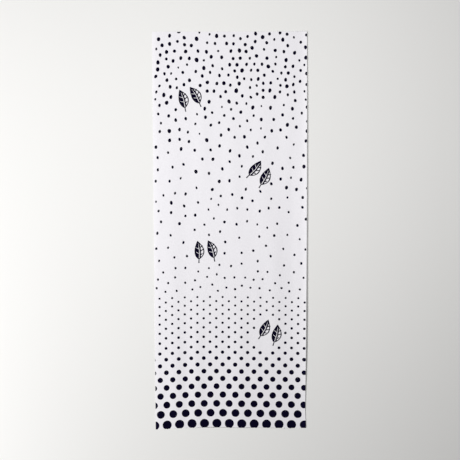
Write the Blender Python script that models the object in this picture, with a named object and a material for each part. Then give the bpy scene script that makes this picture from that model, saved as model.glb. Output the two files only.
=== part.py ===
"""Tenugui: a plain-woven cotton hand towel, laid out flat with its dyed face up.

It is one width of narrow cotton cloth. Its two long sides are woven selvedges, and its
two short ends are cut straight across and left without a hem, so the whole towel is one
sheet. It lies on a surface, flat where it touches, with a few soft ripples along its
length and its right selvedge curled a little way up.

X runs across the cloth, Y along it towards the head end, and Z up. The origin is on the
surface, under the middle of the cloth. Lengths are in metres.
"""

import math
from collections import namedtuple

import bmesh
import bpy
from mathutils import Vector

# The cut length of cloth
CLOTH_WIDTH = 0.345
CLOTH_LENGTH = 0.900
CLOTH_THICKNESS = 0.001

# The foot end hangs back at its corners: the weft bows, most of all at the foot
BOW_CENTRE = -0.045
LEFT_CORNER_DROP = 0.0037
RIGHT_CORNER_DROP = 0.0021
BOW_GROWTH = 1.3

# The right side swells outwards between its ends
RIGHT_SIDE_SWELL = 0.0016

# Each ripple is a low ridge that runs along the cloth for part of its length. Its crest
# lies on a curve through head, middle and foot, in metres from the centre line at those
# three places. It begins and ends at shares of the length, counted from the head end, and
# rises and sinks there over a fifth of the length.
Ripple = namedtuple("Ripple", "head middle foot begins ends half_width height")
RIPPLES = (
    Ripple(-0.134, -0.134, -0.132, 0.20, 1.10, 0.039, 0.0010),
    Ripple(-0.058, -0.066, -0.070, 0.02, 0.47, 0.027, 0.0006),
    Ripple(-0.002, 0.008, 0.012, 0.12, 0.58, 0.027, 0.0006),
    Ripple(0.066, 0.074, 0.078, 0.10, 0.64, 0.028, 0.0006),
    Ripple(0.092, 0.099, 0.098, 0.36, 0.92, 0.028, 0.0008),
    Ripple(0.136, 0.132, 0.126, -0.20, 0.42, 0.028, 0.0009),
    Ripple(-0.120, -0.124, -0.125, 0.66, 1.20, 0.023, 0.0006),
    Ripple(-0.072, -0.076, -0.079, 0.60, 1.20, 0.024, 0.0009),
    Ripple(0.010, 0.018, 0.019, 0.60, 1.20, 0.032, 0.0009),
)
RIPPLE_FADE = 0.20

# The right selvedge is drawn tighter than the cloth beside it, so it curls up: by these
# lifts at the head end, at each quarter of the length, and at the foot end. Over its reach
# the cloth rises with this power of the distance.
SELVEDGE_REACH = 0.036
SELVEDGE_LIFTS = (0.0018, 0.0028, 0.0032, 0.0039, 0.0007)
SELVEDGE_CURL = 1.5

# The mesh is finer across the cloth, where the ripples turn, than along it
COLUMNS = 38
ROWS = 34

# Edges that turn by more than this are the cut ends and the selvedges, and stay crisp
CRISP_EDGE = math.radians(40)

COTTON_WHITE = (0.87, 0.86, 0.90, 1.0)
COTTON_ROUGHNESS = 0.9


def remove_all_objects():
    for thing in list(bpy.data.objects):
        bpy.data.objects.remove(thing, do_unlink=True)


def smooth_step(share):
    """0 before 0, 1 after 1, and an easy curve between them."""
    share = min(max(share, 0.0), 1.0)
    return share * share * (3 - 2 * share)


def share_from_head(along):
    """0 at the head end of the cloth and 1 at its foot end."""
    return 0.5 - along / CLOTH_LENGTH


def crest_of(ripple, share):
    """Where the ripple's crest crosses the cloth, on the parabola through its three places."""
    head = ripple.head * (1 - share) * (1 - 2 * share)
    middle = ripple.middle * 4 * share * (1 - share)
    foot = ripple.foot * share * (2 * share - 1)
    return head + middle + foot


def ripple_height(ripple, across, share):
    away = abs(across - crest_of(ripple, share)) / ripple.half_width
    if away >= 1:
        return 0.0
    rise = (1 + math.cos(math.pi * away)) / 2
    fade_in = smooth_step((share - ripple.begins) / RIPPLE_FADE)
    fade_out = smooth_step((ripple.ends - share) / RIPPLE_FADE)
    return ripple.height * rise * fade_in * fade_out


def selvedge_lift(share):
    """The lift of the right rim, eased from each quarter of the length to the next."""
    quarter = min(int(share * 4), 3)
    eased = smooth_step(share * 4 - quarter)
    return SELVEDGE_LIFTS[quarter] * (1 - eased) + SELVEDGE_LIFTS[quarter + 1] * eased


def selvedge_height(across, share):
    inside_edge = CLOTH_WIDTH / 2 - SELVEDGE_REACH
    curled = max(across - inside_edge, 0.0) / SELVEDGE_REACH
    return selvedge_lift(share) * curled**SELVEDGE_CURL


def underside_height(across, along):
    """How far the cloth lifts off the surface at one point of the flat cloth."""
    share = share_from_head(along)
    ripples = sum(ripple_height(ripple, across, share) for ripple in RIPPLES)
    return ripples + selvedge_height(across, share)


def weft_drop(across, along):
    """How far a weft thread falls back towards the foot end, away from the bow's centre."""
    if across < BOW_CENTRE:
        reach = -CLOTH_WIDTH / 2 - BOW_CENTRE
        corner_drop = LEFT_CORNER_DROP
    else:
        reach = CLOTH_WIDTH / 2 - BOW_CENTRE
        corner_drop = RIGHT_CORNER_DROP
    sideways = (across - BOW_CENTRE) / reach
    return corner_drop * sideways**2 * share_from_head(along) ** BOW_GROWTH


def side_swell(across, along):
    """How far the cloth spreads to the right: most at the right side, half way along."""
    towards_right = 0.5 + across / CLOTH_WIDTH
    between_ends = 1 - (2 * along / CLOTH_LENGTH) ** 2
    return RIGHT_SIDE_SWELL * towards_right * between_ends


def lying_point(across, along):
    """The underside of the cloth at one point of the flat cloth, as it lies."""
    return Vector((
        across + side_swell(across, along),
        along - weft_drop(across, along),
        underside_height(across, along),
    ))


def middle_of(points):
    """The middle of the box round the points, on the surface that the cloth lies on."""
    xs = [point.x for point in points]
    ys = [point.y for point in points]
    return Vector(((min(xs) + max(xs)) / 2, (min(ys) + max(ys)) / 2, 0.0))


def make_cotton():
    cotton = bpy.data.materials.new("undyed_cotton")
    cotton.use_nodes = True
    shader = cotton.node_tree.nodes["Principled BSDF"]
    shader.inputs["Base Color"].default_value = COTTON_WHITE
    shader.inputs["Roughness"].default_value = COTTON_ROUGHNESS
    shader.inputs["Metallic"].default_value = 0.0
    return cotton


def make_towel(cotton):
    """A flat grid shaped to how the cloth lies, then raised by one thickness."""
    cloth = bmesh.new()
    half_a_unit = 0.5
    bmesh.ops.create_grid(cloth, x_segments=COLUMNS, y_segments=ROWS, size=half_a_unit)
    for vertex in cloth.verts:
        across = vertex.co.x * CLOTH_WIDTH
        along = vertex.co.y * CLOTH_LENGTH
        vertex.co = lying_point(across, along)
    middle = middle_of([vertex.co for vertex in cloth.verts])
    bmesh.ops.translate(cloth, vec=-middle, verts=cloth.verts)

    raised = bmesh.ops.extrude_face_region(cloth, geom=cloth.faces[:], use_keep_orig=True)
    face_side = [piece for piece in raised["geom"] if isinstance(piece, bmesh.types.BMVert)]
    bmesh.ops.translate(cloth, vec=(0, 0, CLOTH_THICKNESS), verts=face_side)
    bmesh.ops.recalc_face_normals(cloth, faces=cloth.faces[:])

    mesh = bpy.data.meshes.new("towel")
    cloth.to_mesh(mesh)
    cloth.free()
    mesh.shade_smooth()
    mesh.set_sharp_from_angle(angle=CRISP_EDGE)
    mesh.materials.append(cotton)
    towel = bpy.data.objects.new("towel", mesh)
    bpy.context.scene.collection.objects.link(towel)
    return towel


remove_all_objects()
make_towel(make_cotton())
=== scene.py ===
# %% [markdown]
# # A tenugui: one width of cotton with a fall of dots
#
# A tenugui is a towel of plain-woven cotton, about 35 cm wide and 90 cm long. Its long
# sides are woven selvedges and its short ends are only cut, never hemmed. This one lies
# spread out, face up. The measured solid is a simple 1 mm sheet; here we make the real
# cloth over it: thin, with its dye, its weave and its raw ends.

# %% Load the measured solid
import math
from collections import namedtuple

import bpy
import numpy as np
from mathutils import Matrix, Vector
from mathutils.geometry import delaunay_2d_cdt


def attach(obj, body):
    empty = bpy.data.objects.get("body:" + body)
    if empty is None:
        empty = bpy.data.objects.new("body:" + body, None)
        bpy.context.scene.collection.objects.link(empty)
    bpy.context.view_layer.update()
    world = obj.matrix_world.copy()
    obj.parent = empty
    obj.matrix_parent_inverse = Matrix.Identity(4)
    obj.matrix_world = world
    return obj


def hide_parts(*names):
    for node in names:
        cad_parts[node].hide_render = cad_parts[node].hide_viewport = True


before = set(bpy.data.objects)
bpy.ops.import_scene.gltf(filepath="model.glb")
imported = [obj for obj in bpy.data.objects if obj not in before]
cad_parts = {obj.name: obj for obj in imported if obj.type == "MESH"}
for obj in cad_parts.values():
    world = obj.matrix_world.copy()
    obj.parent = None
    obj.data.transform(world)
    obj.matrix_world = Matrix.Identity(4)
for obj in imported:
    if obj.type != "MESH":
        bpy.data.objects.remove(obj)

bpy.ops.object.select_all(action="DESELECT")
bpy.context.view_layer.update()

# %% [markdown]
# ## The cut of the cloth
#
# Everything is first drawn flat, on the cloth as the dyer sees it: `across` runs from
# selvedge to selvedge and `along` from the foot end to the head end, both from the middle.
# The dye then goes wherever the cloth goes, which is what happens on a real towel.

# %% Sizes of the cut, in metres
CLOTH_WIDTH = 0.345
CLOTH_LENGTH = 0.900
CLOTH_THICKNESS = 0.0004
HALF_WIDTH, HALF_LENGTH = CLOTH_WIDTH / 2, CLOTH_LENGTH / 2
print("cut, mm:", CLOTH_WIDTH * 1000, "by", CLOTH_LENGTH * 1000)

# %% [markdown]
# ## Ripples
#
# Thin cotton never lies quite flat: soft ripples run down it, each for part of its length.
# They could come from a cloth simulation, but then nobody could say where they are. A table
# with one row for each ripple keeps them easy to move, and it holds the same numbers as the
# solid underneath, so the thin cloth lies exactly on it.

# %% Table of ripples
Ripple = namedtuple("Ripple", "head middle foot begins ends half_width height")
RIPPLES = (
    Ripple(-0.134, -0.134, -0.132, 0.20, 1.10, 0.039, 0.0010),
    Ripple(-0.058, -0.066, -0.070, 0.02, 0.47, 0.027, 0.0006),
    Ripple(-0.002, 0.008, 0.012, 0.12, 0.58, 0.027, 0.0006),
    Ripple(0.066, 0.074, 0.078, 0.10, 0.64, 0.028, 0.0006),
    Ripple(0.092, 0.099, 0.098, 0.36, 0.92, 0.028, 0.0008),
    Ripple(0.136, 0.132, 0.126, -0.20, 0.42, 0.028, 0.0009),
    Ripple(-0.120, -0.124, -0.125, 0.66, 1.20, 0.023, 0.0006),
    Ripple(-0.072, -0.076, -0.079, 0.60, 1.20, 0.024, 0.0009),
    Ripple(0.010, 0.018, 0.019, 0.60, 1.20, 0.032, 0.0009),
)
RIPPLE_FADE = 0.20
print("ripples:", len(RIPPLES), "- highest, mm:", max(row.height for row in RIPPLES) * 1000)


# %% Height of one ripple
def smooth_step(share):
    share = np.clip(share, 0.0, 1.0)
    return share * share * (3 - 2 * share)


def share_from_head(along):
    return 0.5 - along / CLOTH_LENGTH


def crest_of(ripple, share):
    """The crest runs on the parabola through its three places."""
    head = ripple.head * (1 - share) * (1 - 2 * share)
    middle = ripple.middle * 4 * share * (1 - share)
    foot = ripple.foot * share * (2 * share - 1)
    return head + middle + foot


def ripple_height(ripple, across, share):
    away = np.abs(across - crest_of(ripple, share)) / ripple.half_width
    rise = (1 + np.cos(math.pi * np.clip(away, 0, 1))) / 2
    fade_in = smooth_step((share - ripple.begins) / RIPPLE_FADE)
    fade_out = smooth_step((ripple.ends - share) / RIPPLE_FADE)
    return ripple.height * rise * fade_in * fade_out


# %% [markdown]
# ## A selvedge that curls
#
# A selvedge is woven tighter than the cloth beside it, so it pulls in and curls up. The
# right one stands up to 4 mm off the surface and throws the thin shadow that runs down that
# side, while the left one lies flat. Five lifts, from head to foot, say how high it stands.

# %% Height of the right selvedge
SELVEDGE_REACH = 0.036
SELVEDGE_LIFTS = (0.0018, 0.0028, 0.0032, 0.0039, 0.0007)
SELVEDGE_CURL = 1.5


def selvedge_height(across, share):
    lifts = np.array(SELVEDGE_LIFTS)
    quarter = np.clip((share * 4).astype(int), 0, 3)
    eased = smooth_step(share * 4 - quarter)
    lift = lifts[quarter] * (1 - eased) + lifts[quarter + 1] * eased
    inside_edge = HALF_WIDTH - SELVEDGE_REACH
    curled = np.clip(across - inside_edge, 0, None) / SELVEDGE_REACH
    return lift * curled**SELVEDGE_CURL


# %% [markdown]
# ## Threads that bow and spread
#
# The weft threads sag back at the foot end's corners, and the right side swells outwards
# between its ends. Both are only a few millimetres, but a towel with ruler-straight edges
# would look like a board.

# %% Bow of the weft and swell of the side
BOW_CENTRE = -0.045
LEFT_CORNER_DROP = 0.0037
RIGHT_CORNER_DROP = 0.0021
BOW_GROWTH = 1.3
RIGHT_SIDE_SWELL = 0.0016


def weft_drop(across, along):
    left = across < BOW_CENTRE
    reach = np.where(left, -HALF_WIDTH - BOW_CENTRE, HALF_WIDTH - BOW_CENTRE)
    corner_drop = np.where(left, LEFT_CORNER_DROP, RIGHT_CORNER_DROP)
    share = np.clip(share_from_head(along), 0, None)
    return corner_drop * ((across - BOW_CENTRE) / reach) ** 2 * share**BOW_GROWTH


def side_swell(across, along):
    towards_right = 0.5 + across / CLOTH_WIDTH
    return RIGHT_SIDE_SWELL * towards_right * (1 - (2 * along / CLOTH_LENGTH) ** 2)


# %% [markdown]
# ## Small creases that the solid leaves out
#
# Between the ripples the cloth has finer, shorter folds that lean this way and that, and
# its cut foot end stands a hair above the surface. They are too small for the solid, so
# they are added here, one row each, as soft cosine bumps: a crease in washed cotton has no
# sharp edge. The first row runs down the whole left side, where the cloth rolls over to its
# selvedge, and the last row is the lifted foot end.

# %% Table of creases
Crease = namedtuple("Crease", "across along half_width half_length lean height")
CREASES = (
    Crease(-0.160, 0.000, 0.020, 1.200, 0.00, 0.00018),
    Crease(-0.150, 0.215, 0.011, 0.090, -0.01, 0.00015),
    Crease(-0.118, 0.310, 0.014, 0.080, 0.03, 0.00018),
    Crease(-0.036, 0.360, 0.014, 0.070, 0.04, 0.00016),
    Crease(0.036, 0.290, 0.015, 0.080, -0.02, 0.00016),
    Crease(0.092, 0.345, 0.013, 0.060, 0.02, 0.00015),
    Crease(-0.100, 0.110, 0.013, 0.090, -0.03, 0.00018),
    Crease(0.044, 0.060, 0.012, 0.090, 0.02, 0.00016),
    Crease(0.128, 0.110, 0.011, 0.080, -0.01, 0.00016),
    Crease(-0.034, -0.085, 0.013, 0.055, 0.02, 0.00018),
    Crease(0.026, -0.050, 0.015, 0.075, -0.02, 0.00020),
    Crease(0.150, -0.060, 0.010, 0.090, 0.01, 0.00016),
    Crease(-0.060, -0.160, 0.015, 0.090, 0.02, 0.00020),
    Crease(0.060, -0.150, 0.014, 0.080, -0.03, 0.00018),
    Crease(-0.100, -0.250, 0.011, 0.070, 0.02, 0.00018),
    Crease(0.140, -0.290, 0.012, 0.090, 0.00, 0.00020),
    Crease(0.060, -0.330, 0.016, 0.100, -0.04, 0.00020),
    Crease(-0.020, -0.340, 0.014, 0.080, 0.03, 0.00018),
    Crease(0.030, -0.450, 0.060, 0.022, 0.00, 0.00060),
)


def crease_height(crease, across, along):
    down = along - crease.along
    sideways = across - crease.across - crease.lean * down
    wide = np.clip(np.abs(sideways) / crease.half_width, 0, 1)
    long = np.clip(np.abs(down) / crease.half_length, 0, 1)
    return crease.height * (1 + np.cos(math.pi * wide)) * (1 + np.cos(math.pi * long)) / 4


# %% [markdown]
# At the foot the curled selvedge comes down flat again, so its corner reaches a little
# further out than the side above it. One function then puts any point of the flat cloth
# where it lies. All later steps work on the flat cloth and call it last.

# %% From flat to lying
CORNER_SPREAD = 0.0022
CORNER_REACH_ACROSS = 0.030
CORNER_REACH_ALONG = 0.042


def corner_spread(across, along):
    """How far the right foot corner spreads outwards."""
    near_side = smooth_step((across - HALF_WIDTH) / CORNER_REACH_ACROSS + 1)
    near_foot = smooth_step((-along - HALF_LENGTH) / CORNER_REACH_ALONG + 1)
    return CORNER_SPREAD * near_side * near_foot


def lie(across, along):
    """Where points of the flat cloth end up on its underside, one row of x, y, z each."""
    share = share_from_head(along)
    height = sum(ripple_height(ripple, across, share) for ripple in RIPPLES)
    height = height + selvedge_height(across, share)
    height = height + sum(crease_height(crease, across, along) for crease in CREASES)
    x = across + side_swell(across, along) - RIGHT_SIDE_SWELL / 2
    x = x + corner_spread(across, along)
    y = along - weft_drop(across, along) + LEFT_CORNER_DROP / 2
    return np.stack([x, y, height], axis=1)


right_rim = lie(np.array([HALF_WIDTH]), np.array([0.0]))
print("right rim at mid-length, mm:", (right_rim * 1000).round(2))

# %% [markdown]
# ## The dots that fall into rows
#
# The lower third of the cloth carries a staggered lattice of dots, twelve to a row. Row
# after row the dots grow and the rows move apart, until the last row is cut through by the
# foot end. Both changes are steady, so a short table of a few rows is enough and the rest
# is read off between them. The rows are laid by hand, so they creep sideways by a fraction
# of a millimetre and sag a little at both sides.

# %% Rows of the lattice
Fall = namedtuple("Fall", "row gap_below diameter creep")
FALL = (
    Fall(0, 0.0095, 0.0050, -0.0002),
    Fall(6, 0.0105, 0.0057, -0.0004),
    Fall(11, 0.0122, 0.0068, -0.0005),
    Fall(12, 0.0139, 0.0079, -0.0005),
    Fall(14, 0.0157, 0.0100, -0.0003),
    Fall(16, 0.0183, 0.0124, 0.0000),
    Fall(19, 0.0220, 0.0162, 0.0003),
    Fall(20, 0.0249, 0.0183, 0.0006),
    Fall(21, 0.0250, 0.0211, 0.0008),
)
FIRST_ROW = -0.1471
DOT_PITCH = 0.0287
FIRST_COLUMN = -0.1610
COLUMNS = 13
LATTICE_WOBBLE = 0.014
LATTICE_SEED = 1000
SEEDS_IN_A_ROW = 20

Sag = namedtuple("Sag", "across drop")
ROW_SAG = (
    Sag(-0.172, 0.0020),
    Sag(-0.085, -0.0003),
    Sag(-0.030, -0.0003),
    Sag(0.090, 0.0014),
    Sag(0.172, 0.0018),
)

Dot = namedtuple("Dot", "across along wide tall lean wobble seed")


def row_sag(across):
    return float(np.interp(across, *zip(*ROW_SAG)))


def fall(row, column):
    """One column of the table of rows, read off between its rows."""
    rows = [step.row for step in FALL]
    values = [getattr(step, column) for step in FALL]
    return float(np.interp(row, rows, values))


def lattice_dots():
    along = FIRST_ROW
    for row in range(FALL[-1].row + 1):
        diameter = fall(row, "diameter")
        start = FIRST_COLUMN + fall(row, "creep") - (DOT_PITCH / 2 if row % 2 else 0)
        for column in range(COLUMNS):
            across = start + column * DOT_PITCH
            place = along - row_sag(across)
            seed = LATTICE_SEED + row * SEEDS_IN_A_ROW + column
            yield Dot(across, place, diameter, diameter, 0.0, LATTICE_WOBBLE, seed)
        along -= fall(row, "gap_below")


lattice = list(lattice_dots())
print("dots in the lattice:", len(lattice))

# %% [markdown]
# ## Leaves among the dots
#
# Four pairs of leaves lie between the dots. Each leaf is cut as for a stencil: one half is
# solid with bare veins, the other is an outline with solid veins. First the blade: its edge
# swells and closes like a sine, a little fuller near the stem, about a bent midrib.

# %% Blade of a leaf
LEAF_LENGTH = 0.043
LEAF_WIDTH = 0.0225
MIDRIB_BEND = 0.0026
STEM_LENGTH = 0.0080
FULL_NEAR_STEM = 0.8
BLADE_ROUNDNESS = 0.9


def half_width_at(share):
    """Half the blade's width, at a share of its length from base to tip."""
    if not 0 < share < 1:
        return 0.0
    return LEAF_WIDTH / 2 * math.sin(math.pi * share**FULL_NEAR_STEM) ** BLADE_ROUNDNESS


def midrib(share):
    return MIDRIB_BEND * math.sin(math.pi * share)


def leaf_edge(side, start=0.0, end=1.0, inset=0.0, steps=16):
    """Points down one edge of a leaf that points along +Y."""
    shares = np.linspace(start, end, steps + 1)
    reach = [max(half_width_at(share) - inset, 0.0) for share in shares]
    return [(midrib(s) + side * r, s * LEAF_LENGTH) for s, r in zip(shares, reach)]


print("leaf, mm:", LEAF_LENGTH * 1000, "by", LEAF_WIDTH * 1000)

# %% [markdown]
# The veins are straight strokes that taper. A stroke is only its two ends and its two
# widths, which is how a stencil knife makes it.

# %% Strokes and veins
VEIN_SLANT = 0.62


def stroke(start, end, start_width, end_width):
    (x0, y0), (x1, y1) = start, end
    length = math.hypot(x1 - x0, y1 - y0)
    nx, ny = -(y1 - y0) / length / 2, (x1 - x0) / length / 2
    return [
        (x0 + nx * start_width, y0 + ny * start_width),
        (x0 - nx * start_width, y0 - ny * start_width),
        (x1 - nx * end_width, y1 - ny * end_width),
        (x1 + nx * end_width, y1 + ny * end_width),
    ]


def vein(side, share, reach):
    """Where a vein starts on the midrib and where it ends, slanting towards the tip."""
    out = half_width_at(share) * reach
    x, y = midrib(share), share * LEAF_LENGTH
    return (x, y), (x + side * out, y + VEIN_SLANT * out)


# %% [markdown]
# A leaf is then a short recipe of shapes laid one over another: dye, then bare cloth, then
# dye again. The order matters, because the shape laid last wins.

# %% Shapes of one leaf
OUTLINE_WIDTH = 0.0025
SOLID_MARGIN = 0.0035
WINDOW_START, WINDOW_END, WINDOW_STEPS = 0.16, 0.82, 10
SOLID_VEINS, SOLID_VEIN_REACH, SOLID_VEIN_WIDTHS = (0.20, 0.40, 0.60), 0.84, (0.0025, 0.0021)
BARE_VEINS, BARE_VEIN_REACH, BARE_VEIN_WIDTHS = (0.30, 0.54), 0.72, (0.0012, 0.0007)
SPINE_PLACES, SPINE_WIDTHS = (0.07, 0.45, 0.84), (0.0014, 0.0012, 0.0005)
STEM_FOOT, STEM_TOP, STEM_WIDTHS = (-0.0012, -STEM_LENGTH), (0.0, 0.0020), (0.0027, 0.0019)


def leaf_shapes():
    """The shapes of one leaf, as (points, takes dye), in the order they are laid down."""
    blade = leaf_edge(-1) + leaf_edge(1)[-2:0:-1]
    window = leaf_edge(1, WINDOW_START, WINDOW_END, OUTLINE_WIDTH, WINDOW_STEPS)
    beside_midrib = leaf_edge(1, WINDOW_END, WINDOW_START, LEAF_WIDTH, WINDOW_STEPS)
    window += [(x + SOLID_MARGIN, y) for x, y in beside_midrib]
    shapes = [(stroke(STEM_FOOT, STEM_TOP, *STEM_WIDTHS), True), (blade, True), (window, False)]
    for share in SOLID_VEINS:
        shapes.append((stroke(*vein(1, share, SOLID_VEIN_REACH), *SOLID_VEIN_WIDTHS), True))
    for share in BARE_VEINS:
        shapes.append((stroke(*vein(-1, share, BARE_VEIN_REACH), *BARE_VEIN_WIDTHS), False))
    spine = [(midrib(share), share * LEAF_LENGTH) for share in SPINE_PLACES]
    shapes.append((stroke(spine[0], spine[1], *SPINE_WIDTHS[:2]), False))
    shapes.append((stroke(spine[1], spine[2], *SPINE_WIDTHS[1:]), False))
    return shapes


print("shapes in each leaf:", len(leaf_shapes()))

# %% [markdown]
# The leaves come in pairs, side by side and a little turned apart. Each pair has a place
# and a turn, and the dots keep clear of it: those of the lattice are left out there, and
# the scattered ones are sown around it.

# %% Places of the leaf pairs
Pair = namedtuple("Pair", "across along turn")
PAIRS = (
    Pair(-0.092, 0.304, 24),
    Pair(0.066, 0.136, -32),
    Pair(-0.058, -0.040, 12),
    Pair(0.090, -0.226, -18),
)
PAIR_SPACING = 0.029
PAIR_SPREAD = 7
PAIR_STAGGER = 0.002
PAIR_CLEARANCE = 0.0055


def placed(points, pair, side):
    """Turns a leaf's points to lie in its pair: side is -1 for the left leaf, 1 for the right."""
    turn = math.radians(pair.turn + side * PAIR_SPREAD)
    x = np.array([p[0] for p in points]) + side * PAIR_SPACING / 2
    y = np.array([p[1] for p in points]) - LEAF_LENGTH / 2 - side * PAIR_STAGGER
    across = pair.across + x * math.cos(turn) - y * math.sin(turn)
    along = pair.along + x * math.sin(turn) + y * math.cos(turn)
    return list(zip(across.tolist(), along.tolist()))


def clear_of_leaves(across, along, radius):
    """True where a dot of that radius keeps off every pair of leaves and its stems."""
    for pair in PAIRS:
        turn = math.radians(-pair.turn)
        dx, dy = across - pair.across, along - pair.along
        x = dx * math.cos(turn) - dy * math.sin(turn)
        y = dx * math.sin(turn) + dy * math.cos(turn) + STEM_LENGTH / 2
        wide = PAIR_SPACING / 2 + LEAF_WIDTH / 2 + PAIR_CLEARANCE + radius
        tall = LEAF_LENGTH / 2 + STEM_LENGTH / 2 + PAIR_CLEARANCE + radius
        if (abs(x) / wide) ** 3 + (abs(y) / tall) ** 3 < 1:
            return False
    return True


lattice = [dot for dot in lattice if clear_of_leaves(dot.across, dot.along, dot.wide / 2)]
print("dots left in the lattice:", len(lattice))

# %% [markdown]
# ## The scattered dots
#
# Above the lattice the dots are sown by hand: close and bold at the head end, then ever
# fewer and smaller, until they gather again just above the first row. Pure chance would
# leave clumps and holes. So each new dot must keep a least distance from the others, which
# the table gives at a few places down the cloth. Most of them are ovals, taller than they
# are wide. The sowing runs on a little past the head end, so the shears cut through a few
# dots there. The seed is fixed, so that the same towel comes out every time.

# %% Table of the sowing
Sowing = namedtuple("Sowing", "along spacing diameter spread tallness")
SOWING = (
    Sowing(0.449, 0.0154, 0.0070, 0.0011, 1.17),
    Sowing(0.390, 0.0146, 0.0073, 0.0013, 1.18),
    Sowing(0.330, 0.0144, 0.0071, 0.0012, 1.24),
    Sowing(0.280, 0.0168, 0.0069, 0.0011, 1.28),
    Sowing(0.210, 0.0206, 0.0066, 0.0010, 1.31),
    Sowing(0.130, 0.0230, 0.0065, 0.0009, 1.31),
    Sowing(0.060, 0.0206, 0.0060, 0.0008, 1.28),
    Sowing(-0.020, 0.0258, 0.0057, 0.0005, 1.23),
    Sowing(-0.080, 0.0214, 0.0053, 0.0003, 1.18),
    Sowing(-0.115, 0.0188, 0.0052, 0.0002, 1.08),
    Sowing(-0.136, 0.0166, 0.0051, 0.0002, 1.04),
)
UNEVEN_TALLNESS = 0.17
LEAST_DOT, BIGGEST_DOT = 0.0042, 0.0098
UNEVEN_LEAN = 12
SCATTER_WOBBLE = 0.05
LEFT_MARGIN = 0.005
PAST_HEAD_END = 0.012
ROWS_KEPT_CLEAR = 0.02
TRIES = 60000


def sown(along, column):
    """One column of the sowing table, read off between its rows."""
    places = [row.along for row in SOWING][::-1]
    values = [getattr(row, column) for row in SOWING][::-1]
    return np.interp(along, places, values)


# %% Sow the dots
def scatter_dots():
    chance = np.random.default_rng(21)
    tries_across = chance.uniform(LEFT_MARGIN - HALF_WIDTH, HALF_WIDTH, TRIES)
    tries_along = chance.uniform(SOWING[-1].along, HALF_LENGTH + PAST_HEAD_END, TRIES)
    spacings = sown(tries_along, "spacing")
    first_rows = [dot for dot in lattice if dot.along > FIRST_ROW - ROWS_KEPT_CLEAR]
    held = np.array([(dot.across, dot.along) for dot in first_rows])
    dots = []
    for across, along, spacing in zip(tries_across, tries_along, spacings):
        if np.hypot(held[:, 0] - across, held[:, 1] - along).min() < spacing:
            continue
        size = chance.normal(sown(along, "diameter"), sown(along, "spread"))
        size = float(np.clip(size, LEAST_DOT, BIGGEST_DOT))
        if not clear_of_leaves(across, along, size / 2):
            continue
        held = np.vstack([held, (across, along)])
        tallness = sown(along, "tallness") + chance.uniform(-UNEVEN_TALLNESS, UNEVEN_TALLNESS)
        wide, tall = size / tallness**0.5, size * tallness**0.5
        lean = chance.normal(0, UNEVEN_LEAN)
        dots.append(Dot(across, along, wide, tall, lean, SCATTER_WOBBLE, len(dots)))
    return dots


scatter = scatter_dots()
print("scattered dots:", len(scatter))

# %% [markdown]
# ## Outline of a dot
#
# A dot of dye is never a perfect circle: paste and thread push its rim in and out. Each
# outline is an ellipse with three slow waves added. Big dots get more points than small
# ones, so that all rims look equally smooth.

# %% Outline of a dot
RIM_STEP = 0.0009
FEWEST_POINTS, MOST_POINTS = 16, 64
RimWave = namedtuple("RimWave", "waves share")
RIM_WAVES = (RimWave(2, 0.50), RimWave(3, 0.60), RimWave(5, 0.35))


def dot_outline(dot):
    chance = np.random.default_rng(dot.seed)
    count = int(np.clip(math.pi * dot.wide / RIM_STEP, FEWEST_POINTS, MOST_POINTS))
    around = np.linspace(0, 2 * math.pi, count, endpoint=False)
    wobble = np.ones(count)
    for waves, share in RIM_WAVES:
        shift = chance.uniform(0, 2 * math.pi)
        wobble += dot.wobble * share * np.sin(waves * around + shift)
    x = dot.wide / 2 * wobble * np.cos(around)
    y = dot.tall / 2 * wobble * np.sin(around)
    lean = math.radians(dot.lean)
    across = dot.across + x * math.cos(lean) - y * math.sin(lean)
    along = dot.along + x * math.sin(lean) + y * math.cos(lean)
    return list(zip(across.tolist(), along.tolist()))


biggest_dot = max(lattice, key=lambda dot: dot.wide)
print("points round the biggest dot:", len(dot_outline(biggest_dot)))

# %% [markdown]
# ## Outline of the cloth
#
# The raw ends are cut across the threads with shears, and the cut threads stick out
# unevenly by a fraction of a millimetre, here and there one of them further. The selvedges
# are smooth: the weft turns back there, so no thread ends. Shears never go dead straight:
# a table says how far past its length the cloth is cut at the foot. Along the foot cut a
# thin dark line is painted in the dye, a painted shadow for the shade under the lifted foot
# end, and the table's last column says how wide that painted shadow is on the cloth.

# %% Table of the foot cut
Cut = namedtuple("Cut", "across further line_left")
FOOT_CUT = (
    Cut(-0.172, 0.0024, 0.0000),
    Cut(-0.115, 0.0017, 0.0001),
    Cut(-0.075, 0.0013, 0.0004),
    Cut(-0.044, 0.0012, 0.0010),
    Cut(-0.015, 0.0014, 0.0008),
    Cut(0.013, 0.0016, 0.0005),
    Cut(0.042, 0.0018, 0.0007),
    Cut(0.072, 0.0016, 0.0004),
    Cut(0.135, 0.0018, 0.0002),
    Cut(0.172, 0.0006, 0.0000),
)
# The painted shadow line reaches this far past the cut, where the cloth's outline trims it off.
SHADOW_PAST_CUT = 0.005


def foot_cut(across):
    """Where the shears went at the foot end."""
    places = [cut.across for cut in FOOT_CUT]
    further = [cut.further for cut in FOOT_CUT]
    return -HALF_LENGTH - np.interp(across, places, further)


def painted_shadow_line():
    """The painted shadow along the foot cut: its upper edge, and a lower edge that lies past the
    cut.
    """
    shaded_cuts = [cut for cut in FOOT_CUT if cut.line_left > 0]
    upper = [(cut.across, float(foot_cut(cut.across)) + cut.line_left) for cut in shaded_cuts]
    return upper + [(x, y - SHADOW_PAST_CUT) for x, y in reversed(upper)]


print("foot cut past the length, mm:", [round(cut.further * 1000, 1) for cut in FOOT_CUT])

# %% Outline of the cloth
END_STEP = 0.0011
SIDE_STEP = 0.0036
UNEVEN_CUT = 0.0005
LOOSE_THREAD = 0.0014
LOOSE_THREADS_IN_100 = 4
SHORTEST_LOOSE = 0.4


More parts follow.
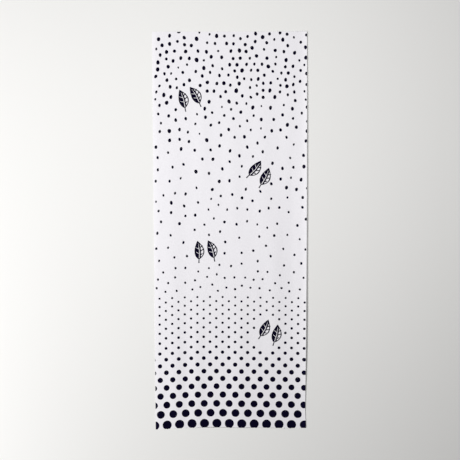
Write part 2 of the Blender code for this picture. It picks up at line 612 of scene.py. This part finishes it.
def raw_end(chance, count):
    """How far back each point of a cut end lies from its furthest loose thread."""
    back = LOOSE_THREAD + UNEVEN_CUT * chance.uniform(0, 1, count) ** 2
    loose = chance.uniform(0, 100, count) < LOOSE_THREADS_IN_100
    return np.where(loose, back - LOOSE_THREAD * chance.uniform(SHORTEST_LOOSE, 1.0, count), back)


def cloth_outline():
    chance = np.random.default_rng(7)
    across = np.linspace(-HALF_WIDTH, HALF_WIDTH, int(CLOTH_WIDTH / END_STEP) + 1)
    along = np.linspace(-HALF_LENGTH, HALF_LENGTH, int(CLOTH_LENGTH / SIDE_STEP) + 1)[1:-1]
    foot = foot_cut(across) - LOOSE_THREAD + raw_end(chance, len(across))
    head = HALF_LENGTH + LOOSE_THREAD - raw_end(chance, len(across))
    outline = list(zip(across, foot)) + [(HALF_WIDTH, y) for y in along]
    outline += list(zip(across[::-1], head[::-1])) + [(-HALF_WIDTH, y) for y in along[::-1]]
    return [(float(x), float(y)) for x, y in outline]


print("points round the cloth:", len(cloth_outline()))

# %% [markdown]
# ## One mesh, with the dye cut into it
#
# The dye could be painted by a texture, but small dots would blur at their rims when the
# towel is looked at closely. Instead the outlines are cut into the mesh like inlay. First
# all shapes are put in one list, each as a ring of points that runs counter-clockwise,
# which is what the cutting step takes for the inside.

# %% Gather the shapes
# The second shape is a painted shadow along the foot cut, laid in the dark dye.
shapes = [(cloth_outline(), False), (painted_shadow_line(), True)]
shapes += [(dot_outline(dot), True) for dot in lattice + scatter]
for pair in PAIRS:
    for side in (-1, 1):
        shapes += [(placed(points, pair, side), dyed) for points, dyed in leaf_shapes()]


def signed_area(ring):
    return sum(x0 * y1 - x1 * y0 for (x0, y0), (x1, y1) in zip(ring, ring[1:] + ring[:1])) / 2


points, outlines = [], []
for ring, _ in shapes:
    numbers = list(range(len(points), len(points) + len(ring)))
    outlines.append(numbers if signed_area(ring) > 0 else numbers[::-1])
    points += ring
print("outlines:", len(outlines), "- points on them:", len(points))

# %% [markdown]
# The cloth also needs points between the outlines, or it could not bend over its ripples.
# They stand in a staggered grid, and those that would crowd a rim are left out, because
# they would make thin slivers that catch the light.

# %% Points that let the cloth bend
FOLD_GRID = 0.0042
KEEP_OFF_RIM = 0.0012
SEARCH_CELL = 0.004


def grid_points():
    columns = np.arange(-HALF_WIDTH + FOLD_GRID / 2, HALF_WIDTH, FOLD_GRID)
    rows = np.arange(-HALF_LENGTH + FOLD_GRID / 2, HALF_LENGTH, FOLD_GRID)
    across, along = np.meshgrid(columns, rows)
    across[1::2] += FOLD_GRID / 2
    inside = np.abs(across) < HALF_WIDTH - KEEP_OFF_RIM
    return np.stack([across[inside], along[inside]], axis=1)


def off_the_rims(grid, rims):
    near = {}
    for x, y in rims:
        near.setdefault((int(x // SEARCH_CELL), int(y // SEARCH_CELL)), []).append((x, y))
    kept = []
    for x, y in grid:
        i, j = int(x // SEARCH_CELL), int(y // SEARCH_CELL)
        close = [p for a in (-1, 0, 1) for b in (-1, 0, 1) for p in near.get((i + a, j + b), ())]
        if all(max(abs(x - px), abs(y - py)) > KEEP_OFF_RIM for px, py in close):
            kept.append((float(x), float(y)))
    return kept


grid = off_the_rims(grid_points(), points)
print("points between the outlines:", len(grid))

# %% [markdown]
# A constrained Delaunay triangulation takes the points and the rings and returns triangles
# that never cross a ring, and it says which rings each triangle lies in. Ring 0 is the
# cloth, so what lies outside it is dropped: the part of a dot that the shears cut away. The
# last ring laid over a triangle decides whether it takes dye.

# %% Cut the shapes into one flat sheet
KEEP_INSIDE_OUTLINES = 1
SAME_POINT = 1e-7
corners, _, faces, _, _, rings_round_face = delaunay_2d_cdt(
    points + grid, [], outlines, KEEP_INSIDE_OUTLINES, SAME_POINT, True
)
takes_dye = [dyed for _, dyed in shapes]
kept = [(face, max(rings)) for face, rings in zip(faces, rings_round_face) if 0 in rings]
used, renumbered = np.unique([face for face, _ in kept], return_inverse=True)
flat = np.array([(corners[i].x, corners[i].y) for i in used])
flat_faces = renumbered.reshape(-1, 3).tolist()
dyed_faces = [takes_dye[last] for _, last in kept]
print("triangles:", len(flat_faces), "- dyed:", sum(dyed_faces))

# %% [markdown]
# ## Two finishes
#
# The white is bleached cotton, the dark is the same cotton soaked with indigo. Both share
# one weave, because it is the same thread. Three small helpers keep the node trees short:
# one adds a node, one does sums between nodes, and one draws noise out along a thread.

# %% Helpers for node trees
def add(tree, kind, **settings):
    node = tree.nodes.new(kind)
    for name, value in settings.items():
        setattr(node, name, value)
    return node


def maths(tree, operation, *terms):
    """A Math node. Its terms are numbers or other nodes' outputs."""
    node = add(tree, "ShaderNodeMath", operation=operation)
    for socket, term in zip(node.inputs, terms):
        if isinstance(term, (int, float)):
            socket.default_value = term
        else:
            tree.links.new(term, socket)
    return node.outputs[0]


def streaks(tree, flat_place, across_scale, along_scale, detail):
    """Noise that is longer one way than the other, from 0 to 1."""
    stretch = add(tree, "ShaderNodeMapping")
    stretch.inputs["Scale"].default_value = (across_scale, along_scale, 1)
    tree.links.new(flat_place, stretch.inputs["Vector"])
    noise = add(tree, "ShaderNodeTexNoise")
    noise.inputs["Scale"].default_value = 1.0
    noise.inputs["Detail"].default_value = detail
    noise.inputs["Roughness"].default_value = 0.55
    tree.links.new(stretch.outputs[0], noise.inputs["Vector"])
    return noise.outputs["Fac"]


# %% [markdown]
# Plain weave is over one, under one: a tiny chequer, which is the product of two sine
# waves. Slubs, the places where a thread is a little thicker, are noise drawn out along the
# warp and along the weft. Both read the flat cloth's own measurements, which are stored as
# a UV map, so the threads follow every ripple and bow.

# %% Weave
WARP_PITCH = 0.00046
WEFT_PITCH = 0.00050
WARP_SLUBS = (1900, 60)
WEFT_SLUBS = (55, 1700)
SLUB_DETAIL = 2.0


def plain_weave(tree, flat_place):
    """Two outputs: the chequer of raised threads, and the slubs, about 0 to 1 and 0 to 2."""
    split = add(tree, "ShaderNodeSeparateXYZ")
    tree.links.new(flat_place, split.inputs[0])
    warp = maths(tree, "SINE", maths(tree, "MULTIPLY", split.outputs[0], math.pi / WARP_PITCH))
    weft = maths(tree, "SINE", maths(tree, "MULTIPLY", split.outputs[1], math.pi / WEFT_PITCH))
    chequer = maths(tree, "MULTIPLY_ADD", maths(tree, "MULTIPLY", warp, weft), 0.5, 0.5)
    warp_slubs = streaks(tree, flat_place, *WARP_SLUBS, SLUB_DETAIL)
    weft_slubs = streaks(tree, flat_place, *WEFT_SLUBS, SLUB_DETAIL)
    return chequer, maths(tree, "ADD", warp_slubs, weft_slubs)


# %% [markdown]
# Along both selvedges the colour is painted a little whiter: a painted highlight for the
# selvedge strips, where the cloth turns towards the window light. Again the flat cloth's own
# measurements say how far off the nearest selvedge is.

# %% Painted highlight at the selvedges
SELVEDGE_HIGHLIGHT_BAND = 0.014


def selvedge_highlight_mask(tree, flat_place):
    """Where the selvedge highlight is painted: from 0 inside the cloth to 1 at either selvedge.
    """
    split = add(tree, "ShaderNodeSeparateXYZ")
    tree.links.new(flat_place, split.inputs[0])
    fade = add(tree, "ShaderNodeMapRange", interpolation_type="SMOOTHSTEP")
    fade.inputs["From Min"].default_value = HALF_WIDTH - SELVEDGE_HIGHLIGHT_BAND
    fade.inputs["From Max"].default_value = HALF_WIDTH
    tree.links.new(maths(tree, "ABSOLUTE", split.outputs[0]), fade.inputs["Value"])
    return fade.outputs["Result"]


# %% [markdown]
# The weave goes into the bump, and the slubs, with a slow cloudiness, into the colour:
# thick thread is lighter, and washed cotton is never one even shade.

# %% Cotton
WEAVE_DEPTH = 0.00006
WEAVE_STRENGTH = 0.5
SLUBS_IN_BUMP, SLUBS_IN_SHADE, CLOUDS_IN_SHADE = 0.9, 0.35, 0.3
CLOUDS = (22, 9)
CLOUD_DETAIL = 3.0
DARKEST_SHADE, LIGHTEST_SHADE = 0.30, 0.70


def cotton(name, light, dark, selvedge, roughness, specular, sheen):
    """Plain-woven cotton: its thick threads and thin ones each a colour, its selvedges a painted
    highlight.
    """
    material = bpy.data.materials.new(name)
    material.use_nodes = True
    tree = material.node_tree
    shader = tree.nodes["Principled BSDF"]
    flat_place = add(tree, "ShaderNodeUVMap", uv_map="thread_lay").outputs[0]
    chequer, slubs = plain_weave(tree, flat_place)

    bump = add(tree, "ShaderNodeBump")
    bump.inputs["Strength"].default_value = WEAVE_STRENGTH
    bump.inputs["Distance"].default_value = WEAVE_DEPTH
    height = maths(tree, "MULTIPLY_ADD", slubs, SLUBS_IN_BUMP, chequer)
    tree.links.new(height, bump.inputs["Height"])
    tree.links.new(bump.outputs[0], shader.inputs["Normal"])

    clouds = streaks(tree, flat_place, *CLOUDS, CLOUD_DETAIL)
    cloudy = maths(tree, "MULTIPLY", clouds, CLOUDS_IN_SHADE)
    shade = maths(tree, "MULTIPLY_ADD", slubs, SLUBS_IN_SHADE, cloudy)
    ramp = add(tree, "ShaderNodeValToRGB")
    ramp.color_ramp.elements[0].position = DARKEST_SHADE
    ramp.color_ramp.elements[0].color = (*dark, 1)
    ramp.color_ramp.elements[1].position = LIGHTEST_SHADE
    ramp.color_ramp.elements[1].color = (*light, 1)
    tree.links.new(shade, ramp.inputs[0])
    # Painted highlight: the colour turns whiter towards both selvedges.
    painted_highlight = add(tree, "ShaderNodeMixRGB")
    painted_highlight.inputs["Color2"].default_value = (*selvedge, 1)
    tree.links.new(selvedge_highlight_mask(tree, flat_place), painted_highlight.inputs["Fac"])
    tree.links.new(ramp.outputs[0], painted_highlight.inputs["Color1"])
    tree.links.new(painted_highlight.outputs[0], shader.inputs["Base Color"])

    shader.inputs["Roughness"].default_value = roughness
    shader.inputs["Specular IOR Level"].default_value = specular
    shader.inputs["Sheen Weight"].default_value = sheen
    shader.inputs["Sheen Roughness"].default_value = 0.6
    return material


BLEACHED_LIGHT, BLEACHED_DARK = (0.863, 0.847, 0.880), (0.836, 0.820, 0.853)
# Painted highlight: the white cotton's colour at its selvedges.
BLEACHED_SELVEDGE_HIGHLIGHT = (0.895, 0.879, 0.911)
INDIGO_LIGHT, INDIGO_DARK = (0.0042, 0.0033, 0.0185), (0.0009, 0.0005, 0.0064)
bleached = cotton(
    "bleached_cotton",
    light=BLEACHED_LIGHT,
    dark=BLEACHED_DARK,
    selvedge=BLEACHED_SELVEDGE_HIGHLIGHT,
    roughness=0.92,
    specular=0.15,
    sheen=0.05,
)
# The dark finish also fills the painted shadow line along the foot cut.
indigo = cotton(
    "indigo_dyed_cotton",
    light=INDIGO_LIGHT,
    dark=INDIGO_DARK,
    selvedge=INDIGO_LIGHT,
    roughness=0.88,
    specular=0.02,
    sheen=0.0,
)
print("finishes:", bleached.name, indigo.name)

# %% [markdown]
# ## From flat sheet to lying cloth
#
# Each corner of the flat sheet is moved to where it lies, and its flat place is kept as an
# attribute. `Solidify` then gives the sheet its thickness: the layer we made is the
# underside, and the modifier raises the face side over it and closes the rim.

# %% Lay the sheet down
mesh = bpy.data.meshes.new("tenugui_cloth")
underside = [face[::-1] for face in flat_faces]
mesh.from_pydata(lie(flat[:, 0], flat[:, 1]).tolist(), [], underside)
mesh.materials.append(bleached)
mesh.materials.append(indigo)
mesh.polygons.foreach_set("material_index", [int(dyed) for dyed in dyed_faces])
for name, column in (("flat_across", 0), ("flat_along", 1)):
    mesh.attributes.new(name, "FLOAT", "POINT").data.foreach_set("value", flat[:, column])

cloth = bpy.data.objects.new("tenugui_cloth", mesh)
bpy.context.scene.collection.objects.link(cloth)
bpy.context.view_layer.objects.active = cloth
cloth.select_set(True)

# %% Give it its thickness
CRISP_EDGE = math.radians(40)
thickness = cloth.modifiers.new("cloth thickness", "SOLIDIFY")
thickness.thickness = CLOTH_THICKNESS
thickness.offset = -1.0
bpy.ops.object.modifier_apply(modifier=thickness.name)
bpy.ops.object.shade_smooth_by_angle(angle=CRISP_EDGE)
triangles = sum(len(polygon.vertices) - 2 for polygon in cloth.data.polygons)
print("triangles, both sides and rim:", triangles)

# %% [markdown]
# ## Flat measurements as a UV map
#
# The weave reads the map `thread_lay`, in metres on the flat cloth. It is the same on both
# sides, as the threads are.

# %% Write the map of the threads
def flat_places(mesh):
    """The flat place of each corner of each face, as two lists."""
    corner_points = np.empty(len(mesh.loops), dtype=int)
    mesh.loops.foreach_get("vertex_index", corner_points)
    places = []
    for name in ("flat_across", "flat_along"):
        values = np.empty(len(mesh.vertices))
        mesh.attributes[name].data.foreach_get("value", values)
        places.append(values[corner_points])
    return corner_points, *places


corner_points, across, along = flat_places(cloth.data)
threads = cloth.data.uv_layers.new(name="thread_lay")
threads.data.foreach_set("uv", np.stack([across, along], axis=1).ravel())
print("map of the threads, m:", across.min().round(3), across.max().round(3))

# %% [markdown]
# ## A second map for pictures of the finish
#
# When the finish is turned into a picture, each part of the cloth needs its own place in
# it. The white face, the white back and the dyed parts lie side by side, so that no white
# speck can bleed into a dark dot. The rims are only as thick as the cloth, so each one gets
# a narrow strip where its thickness has some width.

# %% Write the map for pictures
FACE_SCALE = 0.98 / CLOTH_LENGTH
DYE_SCALE = FACE_SCALE / 2
FACE_MIDDLE, BACK_MIDDLE, DYE_MIDDLE = 0.20, 0.59, 0.90
HALF_WAY_UP, DYED_FACE_HEIGHT, DYED_BACK_HEIGHT = 0.5, 0.75, 0.25
ON_THE_SIDE = 0.0006
RIM_STRIPS = {"left": 0.7835, "right": 0.7905, "end": 0.7975}
RIM_STRIP_WIDTH = 0.004
END_STRIP_SHIFT = 0.25


def picture_places(mesh):
    """Solidify keeps its order: the underside, the face, then the rim."""
    per_face = np.empty(len(mesh.polygons), dtype=int)
    mesh.polygons.foreach_get("loop_total", per_face)
    layer = np.repeat(np.arange(len(mesh.polygons)) // len(flat_faces), per_face)
    slots = np.empty(len(mesh.polygons), dtype=int)
    mesh.polygons.foreach_get("material_index", slots)
    dyed = np.repeat(slots, per_face) == 1
    scale = np.where(dyed, DYE_SCALE, FACE_SCALE)
    back = layer == 0
    middle = np.where(dyed, DYE_MIDDLE, np.where(back, BACK_MIDDLE, FACE_MIDDLE))
    dyed_height = np.where(back, DYED_BACK_HEIGHT, DYED_FACE_HEIGHT)
    height = np.where(dyed, dyed_height, HALF_WAY_UP)
    return layer, np.stack([middle + across * scale, height + along * scale], axis=1)


layer, picture = picture_places(cloth.data)
on_top = corner_points >= len(flat)
on_left, on_right = across < ON_THE_SIDE - HALF_WIDTH, across > HALF_WIDTH - ON_THE_SIDE
rim_side = np.select([on_left, on_right], [0, 1], 2)
print("corners on the rim:", int(np.sum(layer == 2)))

# %% Lay the rims into their strips
rim = layer == 2
strip = np.array(list(RIM_STRIPS.values()))[rim_side] + on_top * RIM_STRIP_WIDTH
down_strip = HALF_WAY_UP + along * FACE_SCALE
end_place = HALF_WAY_UP + np.sign(along) * END_STRIP_SHIFT + across * FACE_SCALE
picture[rim, 0] = strip[rim]
picture[rim, 1] = np.where(rim_side == 2, end_place, down_strip)[rim]
picture_map = cloth.data.uv_layers.new(name="OFBake")
picture_map.data.foreach_set("uv", picture.ravel())
cloth.data.uv_layers.active = cloth.data.uv_layers["thread_lay"]
cloth.select_set(False)
print("map for pictures, from", picture.min(axis=0).round(3), "to", picture.max(axis=0).round(3))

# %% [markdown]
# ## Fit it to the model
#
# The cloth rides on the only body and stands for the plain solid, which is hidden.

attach(cloth, "root")
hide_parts("towel")

# %% [markdown]
# ## Floor
#
# The towel lies on a plain pale surface, matt and a little warm. It stays a hair under the
# cloth, because two surfaces in the same plane would flicker.

# %% Floor
FLOOR_SIZE = 12
FLOOR_GAP = 0.0002
bpy.ops.mesh.primitive_plane_add(size=FLOOR_SIZE, location=(0, 0, -FLOOR_GAP))
floor = bpy.context.active_object
floor.name = "floor"
floor.select_set(False)
paper = bpy.data.materials.new("pale_floor")
paper.use_nodes = True
paper_shader = paper.node_tree.nodes["Principled BSDF"]
paper_shader.inputs["Base Color"].default_value = (0.84, 0.835, 0.82, 1)
paper_shader.inputs["Roughness"].default_value = 0.95
paper_shader.inputs["Specular IOR Level"].default_value = 0.1
floor.data.materials.append(paper)

# %% [markdown]
# ## Light
#
# Most of the light comes from a big soft window on the left, high enough to keep the
# shadows short. A weaker soft lamp over the head end and a dim room fill the rest, so the
# right side falls off gently towards the foot.

# %% Light
world = bpy.data.worlds.new("soft_room")
world.use_nodes = True
world.node_tree.nodes["Background"].inputs[0].default_value = (1.0, 0.995, 0.985, 1)
world.node_tree.nodes["Background"].inputs[1].default_value = 0.10
bpy.context.scene.world = world


def soft_light(name, place, aim, size, watts):
    lamp = bpy.data.lights.new(name, "AREA")
    lamp.shape = "SQUARE"
    lamp.size = size
    lamp.energy = watts
    light = bpy.data.objects.new(name, lamp)
    bpy.context.scene.collection.objects.link(light)
    light.location = place
    light.rotation_euler = (Vector(aim) - Vector(place)).to_track_quat("-Z", "Y").to_euler()


soft_light("window_left", (-2.10, -0.20, 2.03), (-1.90, -0.81, 0.0), 0.8, 98.3)
soft_light("lamp_over_head_end", (0.15, 0.39, 1.0), (0.47, 0.66, 0.0), 1.0, 5.41)

# %% [markdown]
# ## Camera
#
# The camera looks almost straight down from 1.8 m over a point between the middle and the
# head end, tilted by four degrees, which makes the foot end look a little narrower.

# %% Camera
lens = bpy.data.cameras.new("camera")
lens.lens = 62.03
lens.sensor_width = 36
camera = bpy.data.objects.new("camera", lens)
camera.location = (-0.00036, 0.13923, 1.795)
camera.rotation_euler = (-0.07284, 0, -0.00208)
bpy.context.scene.collection.objects.link(camera)
bpy.context.scene.camera = camera
bpy.context.scene.view_settings.view_transform = "Standard"
